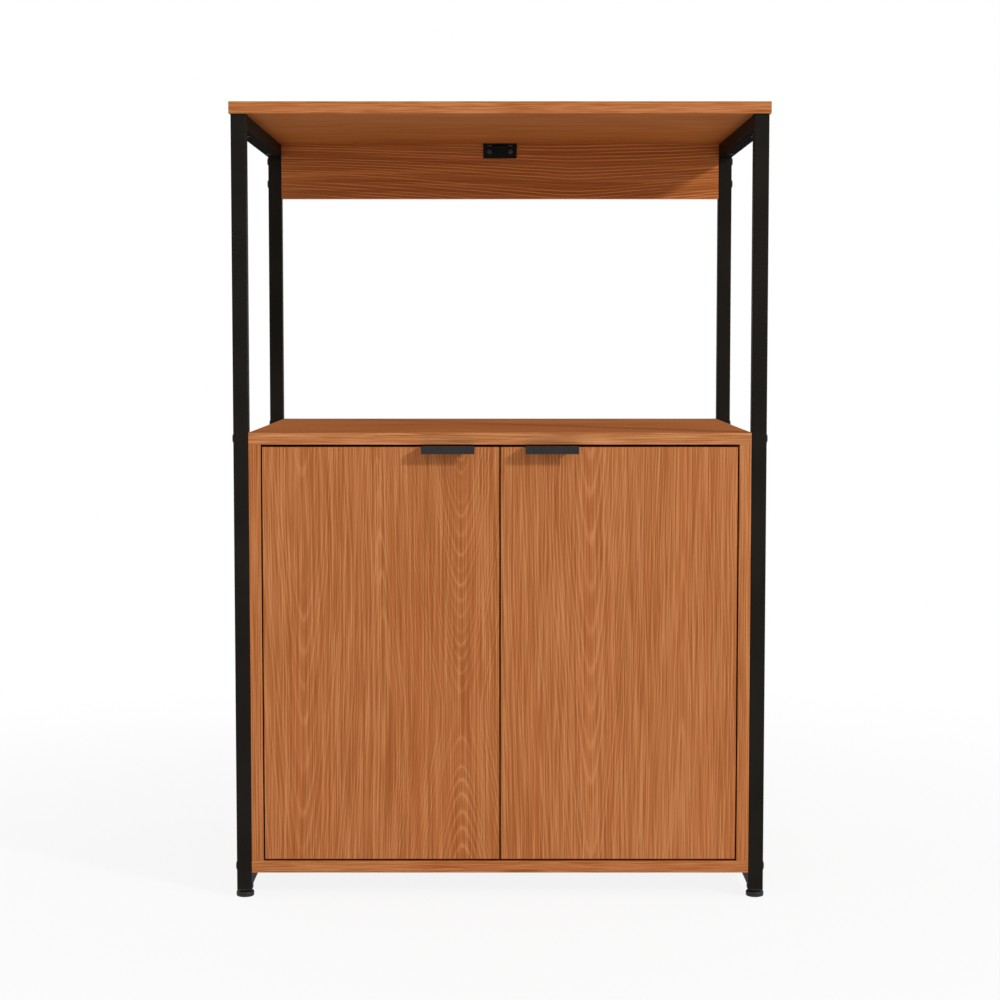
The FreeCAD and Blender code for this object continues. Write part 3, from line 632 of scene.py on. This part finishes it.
def solidsOf(node):
    # The separate solids of a frame node, each as a list of its points.
    lump = bpy.data.objects.new("lump", frame["nodes"][node].data.copy())
    bpy.context.scene.collection.objects.link(lump)
    pick(lump)
    bpy.ops.object.mode_set(mode="EDIT")
    bpy.ops.mesh.select_all(action="SELECT")
    bpy.ops.mesh.remove_doubles(threshold=modelling["weldDistance"])
    bpy.ops.mesh.separate(type="LOOSE")
    bpy.ops.object.mode_set(mode="OBJECT")
    solids = []
    for part in list(bpy.context.selected_objects):
        solids.append([vertex.co.copy() for vertex in part.data.vertices])
        bpy.data.objects.remove(part)
    return solids


def extent(points):
    low = Vector([min(point[axis] for point in points) for axis in range(3)])
    high = Vector([max(point[axis] for point in points) for axis in range(3)])
    return low, high


def underMiddle(low, high):
    # The middle of a box's underside.
    return Vector(((low.x + high.x) / 2, (low.y + high.y) / 2, low.z))


def screwOf(points):
    # Reads a plain screw: the top of its head, the way its shank runs and its whole length.
    low, high = extent(points)
    size = high - low
    axis = max(range(3), key=lambda number: size[number])
    middle = (low + high) / 2

    def spread(end):
        # How far the points near one end lie from the screw's axis. The head's lie farther out.
        reach = size[axis] * modelling["endShare"]
        near = [point - middle for point in points if abs(point[axis] - end) < reach]
        return max(math.hypot(*[offset[other] for other in range(3) if other != axis]) for offset in near)

    headLow = spread(low[axis]) > spread(high[axis])
    way = Vector((0, 0, 0))
    way[axis] = 1 if headLow else -1
    top = middle.copy()
    top[axis] = low[axis] if headLow else high[axis]
    return {"top": top, "way": way, "length": size[axis]}


def copiesAt(model, name, spots):
    # One piece from a copy of the model at each spot: its place, the way its -Z axis runs, and its own turn.
    # The model itself goes.
    bpy.ops.object.select_all(action="DESELECT")
    for place, way, turn in spots:
        copy = model.copy()
        copy.data = model.data.copy()
        bpy.context.scene.collection.objects.link(copy)
        stand = way.to_track_quat("-Z", "Y").to_matrix().to_4x4()
        copy.matrix_world = Matrix.Translation(place) @ stand @ Matrix.Rotation(turn, 4, "Z")
        copy.select_set(True)
        bpy.context.view_layer.objects.active = copy
    bpy.ops.object.join()
    bpy.ops.object.transform_apply(location=True, rotation=True, scale=True)
    piece = bpy.context.object
    piece.name = name
    bpy.data.objects.remove(model)
    return piece


def standIn(piece, node, material, angle=modelling["smoothAngle"]):
    pick(piece)
    bpy.ops.object.shade_smooth_by_angle(angle=math.radians(angle))
    piece.data.materials.clear()
    piece.data.materials.append(material)
    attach(piece, bodyOf[node])
    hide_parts(node)


def replaceScrews(node, makeScrew, made, material):
    # Puts a modelled screw in place of each of a node's plain ones, each turned a bit further than the last.
    screws = [screwOf(points) for points in solidsOf(node)]
    height = made["headHeight"]
    model = makeScrew(screws[0]["length"] - height)
    spots = [(screw["top"] + screw["way"] * height, screw["way"], made["nextTurn"] * number)
             for number, screw in enumerate(screws)]
    standIn(copiesAt(model, node.replace("_", "-"), spots), node, material)


# Pan-head screws with a cross recess. All lengths but the shank's are alike.
panScrew = {
    "sides": 28, "headRadius": 0.0034, "headHeight": 0.0015,
    "rimShares": [(0.97, 0.0), (1.0, 0.08), (1.0, 0.3)], "domeStartShares": (0.72, 0.3),
    "domeSizeShares": (0.28, 0.62), "domeAngles": (15, 30, 45, 60, 78),
    "topShares": [(0.6, 0.97), (0.3, 1.0)], "crossLength": 0.0034, "crossWidth": 0.0008,
    "crossDepth": 0.0011, "shankRadius": 0.00175, "plain": 0.001, "coreRadius": 0.0012, "runOutShare": 1.5,
    "tipShares": [(0.55, 1.0), (1.0, 2.2)], "pointRadius": 0.0002, "pitch": 0.00125, "ridge": 0.0004,
    "threadSteps": 14, "threadStartShare": 1.6, "nextTurn": 0.9,
}


def makePanScrew(shank):
    made = panScrew
    head, height, neck, core = made["headRadius"], made["headHeight"], made["shankRadius"], made["coreRadius"]
    startAcross, startUp = made["domeStartShares"]
    wide, high = made["domeSizeShares"]
    rings = [
        (made["pointRadius"], -shank),
        *shares(made["tipShares"], core, core, -shank),
        (core, -made["plain"] * made["runOutShare"]), (neck, -made["plain"]), (neck, 0),
        *shares(made["rimShares"], head, height),
        *arc(head * startAcross, height * startUp, head * wide, height * high, made["domeAngles"]),
        *shares(made["topShares"], head, height),
    ]
    screw = turned("pan screw", made["sides"], rings)
    addThread(screw, made, neck, -shank + core * made["threadStartShare"], -made["plain"])
    carveCross(screw, made, height)
    return screw


replaceScrews("bracket_screws", makePanScrew, panScrew, coats["screw_grey"])
replaceScrews("top_board_screws", makePanScrew, panScrew, coats["screw_black"])
for side in sides:
    for node in screwGroups:
        replaceScrews(node + side, makePanScrew, panScrew, bareMetals["zinc_screw"])
print("pan screws made")

# Domed screws through the legs, with a hex socket
domeScrew = {
    "sides": 40, "headRadius": 0.00599, "headHeight": 0.0017, "shankRadius": 0.003, "coreRadius": 0.0024,
    "tipShares": [(0.6, 0.0), (1.0, 0.5)], "runOut": 0.0006, "flatShare": 0.5, "domeAngles": range(0, 91, 10),
    "pitch": 0.0018, "ridge": 0.00055, "threadSteps": 16, "threadStart": 0.001, "plain": 0.021,
    "hexAcross": 0.004, "hexDepth": 0.0013, "hexTipShare": 0.2, "nextTurn": 0.35,
}


def makeDomeScrew(shank):
    made = domeScrew
    head, height, neck, core = made["headRadius"], made["headHeight"], made["shankRadius"], made["coreRadius"]
    flat = head * made["flatShare"]
    rings = [
        *shares(made["tipShares"], core, core, -shank),
        (core, -made["plain"] - made["runOut"]), (neck, -made["plain"]), (neck, 0),
        *arc(flat, 0, head - flat, height, made["domeAngles"]),
    ]
    screw = turned("dome screw", made["sides"], rings)
    addThread(screw, made, neck, -shank + made["threadStart"], -made["plain"])
    carveHex(screw, made, height)
    return screw


replaceScrews("frame_screws", makeDomeScrew, domeScrew, coats["screw_black"])
print("frame screws made")

# Levelling feet: a moulded pad and neck with a threaded stem
footLook = {
    "sides": 64, "pad": 0.01124, "padHeight": 0.0068, "hollow": 0.0006, "hollowShares": (0.35, 0.6, 0.66),
    "edge": 0.0016, "lowerAngles": (-68, -45, -22, 0), "upperAngles": (0, 22, 45, 68, 90), "neck": 0.006,
    "neckShares": (1.12, 1.02), "neckFillet": (0.0003, 0.0007), "neckChamfer": 0.0003, "stem": 0.003,
    "stemShare": 1.01, "stemStart": 0.0002, "core": 0.00245, "tip": 0.0012, "tipShare": 0.6,
    "pitch": 0.001, "ridge": 0.00045, "threadSteps": 20, "threadEnd": 0.0009,
}


def makeFoot(neckTop, stemTop):
    made = footLook
    pad, high, edge, neck, core = made["pad"], made["padHeight"], made["edge"], made["neck"], made["core"]
    middle, floor, wall = [pad * share for share in made["hollowShares"]]
    wideNeck, softNeck = [neck * share for share in made["neckShares"]]
    softUp, straightUp = made["neckFillet"]
    chamfer = made["neckChamfer"]
    rings = [
        (middle, made["hollow"]), (floor, made["hollow"]), (wall, 0), (pad - edge, 0),
        *arc(pad - edge, edge, edge, edge, made["lowerAngles"]),
        *arc(pad - edge, high - edge, edge, edge, made["upperAngles"]),
        (wideNeck, high), (softNeck, high + softUp), (neck, high + straightUp),
        (neck, neckTop - chamfer), (neck - chamfer, neckTop),
        (made["stem"] * made["stemShare"], neckTop), (core, neckTop + made["stemStart"]),
        (core, stemTop - made["tip"]), (core * made["tipShare"], stemTop),
    ]
    foot = turned("foot", made["sides"], rings)
    addThread(foot, made, made["stem"], neckTop, stemTop - made["threadEnd"])
    return foot


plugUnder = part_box("leg_plugs")[0].z
for corner in corners:
    node = "foot_" + corner
    low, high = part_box(node)
    foot = makeFoot(plugUnder, high.z)
    name = "levelling-foot-" + corner.replace("_", "-")
    standIn(copiesAt(foot, name, [(underMiddle(low, high), down, 0)]), node, mouldings["foot_plastic"])
print("feet made")

# Cam fittings: a cast drum with a cross recess and an arrow that points at its bolt
camLook = {
    "sides": 48, "radius": 0.0075, "height": 0.012, "rim": 0.0003, "dish": 0.00025,
    "dishShares": (0.88, 0.86, 0.5), "crossLength": 0.0062, "crossWidth": 0.0013, "crossDepth": 0.0032,
    "mouth": 0.0035, "mouthSides": 28, "arrow": 0.0015, "arrowSides": 3, "arrowDepth": 0.0011,
    "arrowOut": 0.0052,
}


def makeCam():
    made = camLook
    radius, height, rim, dish = made["radius"], made["height"], made["rim"], made["dish"]
    lip, wall, floor = [radius * share for share in made["dishShares"]]
    rings = [(radius - rim, -height), (radius, -height + rim), (radius, -rim), (radius - rim, 0),
             (lip, 0), (wall, -dish), (floor, -dish)]
    cam = turned("cam", made["sides"], rings)
    mouth = added(bpy.ops.mesh.primitive_cylinder_add, vertices=made["mouthSides"], radius=made["mouth"],
                  depth=2 * radius, location=(0, radius, -radius), rotation=(math.radians(90), 0, 0))
    carve(cam, mouth)
    carveCross(cam, made, 0)
    arrow = added(bpy.ops.mesh.primitive_cylinder_add, vertices=made["arrowSides"], radius=made["arrow"],
                  depth=2 * made["arrowDepth"], location=(0, made["arrowOut"], 0))
    carve(cam, arrow)
    return cam


spots = []
for points in solidsOf("cam_locks"):
    low, high = extent(points)
    middle = (low + high) / 2
    outward = Vector((math.copysign(1, middle.x), 0, 0))
    inner = low.x if outward.x > 0 else high.x
    upward = middle.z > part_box("inner_shelf")[0].z
    spots.append((Vector((inner, middle.y, middle.z)), outward, 0 if upward else math.pi))
standIn(copiesAt(makeCam(), "cam-locks", spots), "cam_locks", bareMetals["zinc_casting"])
print("cams made")

# Beech dowels with pressed flutes
dowelLook = {"sides": 36, "radius": 0.004, "chamfer": 0.0008, "fluteShare": 0.93, "smoothAngle": 20}


def makeDowel(length):
    made = dowelLook
    radius, chamfer, flute = made["radius"], made["chamfer"], made["fluteShare"]
    rings = [(radius - chamfer, 0), (radius, chamfer), (radius, length - chamfer), (radius - chamfer, length)]
    dowel = turned("dowel", made["sides"], rings)
    selectNothing()
    for vertex in dowel.data.vertices:
        turn = math.atan2(vertex.co.y, vertex.co.x) / math.tau * made["sides"]
        vertex.select = round(turn) % 2 == 1
    pick(dowel)
    bpy.ops.object.mode_set(mode="EDIT")
    bpy.context.tool_settings.mesh_select_mode = (True, False, False)
    bpy.ops.transform.resize(value=(flute, flute, 1.0), center_override=(0, 0, 0))
    bpy.ops.object.mode_set(mode="OBJECT")
    return dowel


boxes = [extent(points) for points in solidsOf("dowels")]
dowel = makeDowel(boxes[0][1].z - boxes[0][0].z)
spots = [(underMiddle(low, high), down, 0) for low, high in boxes]
standIn(copiesAt(dowel, "fluted-dowels", spots), "dowels", beech, dowelLook["smoothAngle"])
print("dowels made")

# Studio: a white floor and sky, and a soft lamp high on the right in front
studio = {
    "floorSize": 40.0, "floorDrop": 0.0002, "floorColour": (0.86, 0.86, 0.86, 1.0), "floorRoughness": 0.9,
    "shownWhite": 0.88, "fadeFrom": 0.5, "fadeTo": 1.7, "skyColour": (1.0, 1.0, 1.0, 1.0), "skyFill": 0.60,
    "lampAim": 0.5, "lampFrom": (1.25, -1.0, 0.75), "lampDistance": 18.0, "lampSize": 1.8,
    "lampPower": 1691.0,
}


def seenWhite(graph):
    # 1 for rays that show the white background: from the camera, in gloss and through glass.
    rays = graph.node("ShaderNodeLightPath").socket.node.outputs
    seen = Flow(graph, rays["Is Camera Ray"])
    for name in ("Is Glossy Ray", "Is Transmission Ray"):
        seen = graph.maths("MAXIMUM", seen, Flow(graph, rays[name]))
    return seen


def makeSky():
    world = bpy.data.worlds.new("sky")
    world.use_nodes = True
    bpy.context.scene.world = world
    sky = Graph(world.node_tree)
    strength = sky.node("ShaderNodeMix", {"data_type": "FLOAT"},
                        {0: seenWhite(sky), 2: studio["skyFill"], 3: 1.0})
    background = sky.tree.nodes["Background"]
    sky.feed(background.inputs["Color"], studio["skyColour"])
    sky.feed(background.inputs["Strength"], strength)


def makeFloor():
    # Where it is seen it is mostly plain white, and wholly so farther out, which leaves a faint shadow.
    bpy.ops.object.select_all(action="DESELECT")
    bpy.ops.mesh.primitive_plane_add(size=studio["floorSize"], location=(0, 0, -studio["floorDrop"]))
    floor = bpy.context.object
    floor.name = "floor"
    finish = Finish("floor")
    finish.surface(baseColor=studio["floorColour"], roughness=studio["floorRoughness"])
    lit = Flow(finish, finish.shader.outputs[0])
    glow = finish.node("ShaderNodeEmission", sockets={"Strength": 1.0})
    x, y = finish.place()[:2]
    away = (x * x + y * y) ** 0.5
    shown = finish.span(away, studio["fadeFrom"], studio["fadeTo"], studio["shownWhite"], 1.0)
    both = finish.node("ShaderNodeMixShader", sockets=(shown * seenWhite(finish), lit, glow))
    finish.feed(finish.tree.nodes["Material Output"].inputs["Surface"], both)
    floor.data.materials.append(finish.material)


def makeLamp():
    lampData = bpy.data.lights.new("lamp", "AREA")
    lampData.shape = "DISK"
    lampData.size = studio["lampSize"]
    lampData.energy = studio["lampPower"]
    lamp = bpy.data.objects.new("lamp", lampData)
    target = Vector((0, frontPlane, studio["lampAim"]))
    direction = Vector(studio["lampFrom"]).normalized()
    lamp.location = target + direction * studio["lampDistance"]
    lamp.rotation_euler = direction.to_track_quat("Z", "Y").to_euler()
    bpy.context.scene.collection.objects.link(lamp)


makeSky()
makeFloor()
makeLamp()
bpy.context.scene.view_settings.view_transform = "Standard"
print("studio lit")
